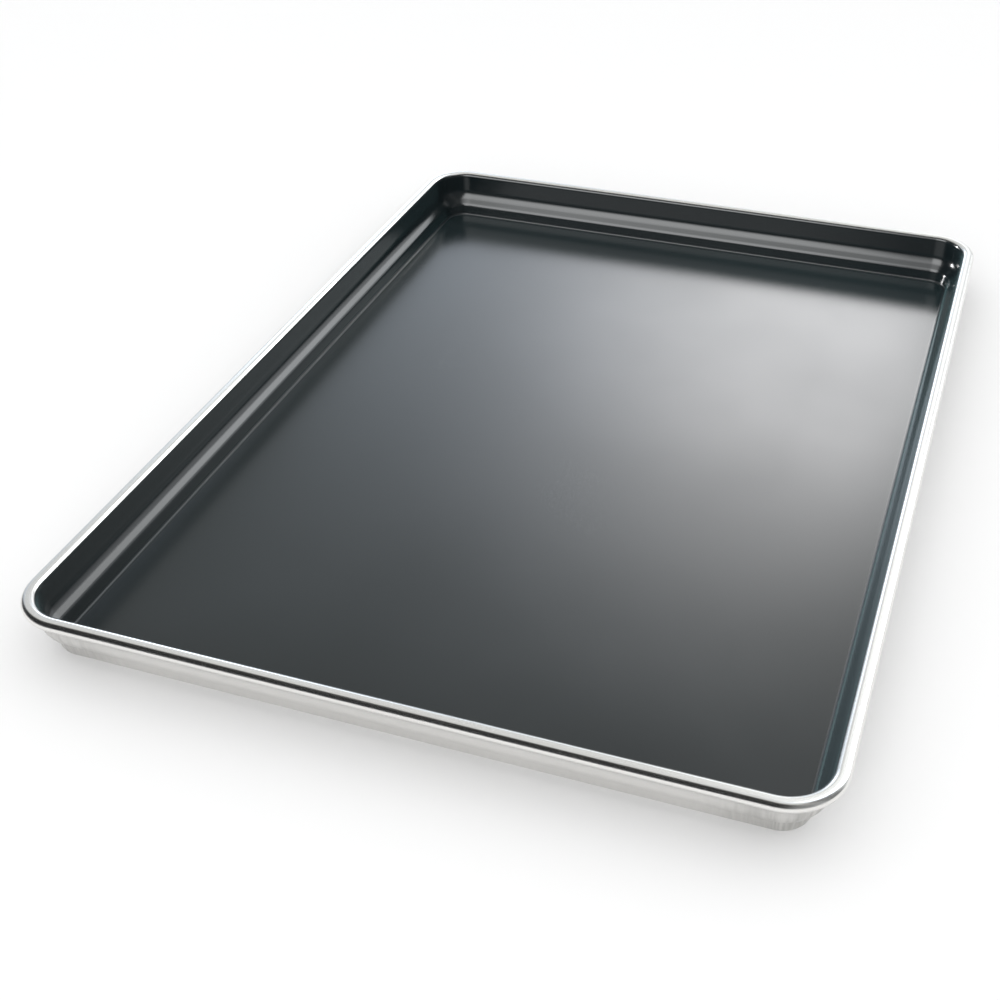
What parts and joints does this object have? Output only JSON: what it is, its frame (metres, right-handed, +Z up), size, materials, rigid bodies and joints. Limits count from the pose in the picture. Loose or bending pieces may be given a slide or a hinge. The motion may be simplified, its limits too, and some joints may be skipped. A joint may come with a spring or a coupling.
{
  "type": "baking sheet",
  "caption": "Shallow rectangular baking sheet with rounded corners, a stepped side wall, a rolled rim stiffened by a wire, and a dark non-stick lining.",
  "frame": {"origin": "middle of the underside, on the surface that the pan stands on", "axes": "+Z up, +Y along the pan's long side, +X along its short side"},
  "size_m": [0.3264, 0.4536, 0.0254],
  "materials": {
    "aluminium_sheet": "bright, lightly drawn aluminium",
    "nonstick_coating": "dark grey satin-gloss non-stick coating",
    "steel_wire": "drawn galvanised wire"
  },
  "bodies": {
    "root": {"pan_shell": "aluminium_sheet", "nonstick_lining": "nonstick_coating", "rim_wire": "steel_wire"}
  },
  "joints": []
}
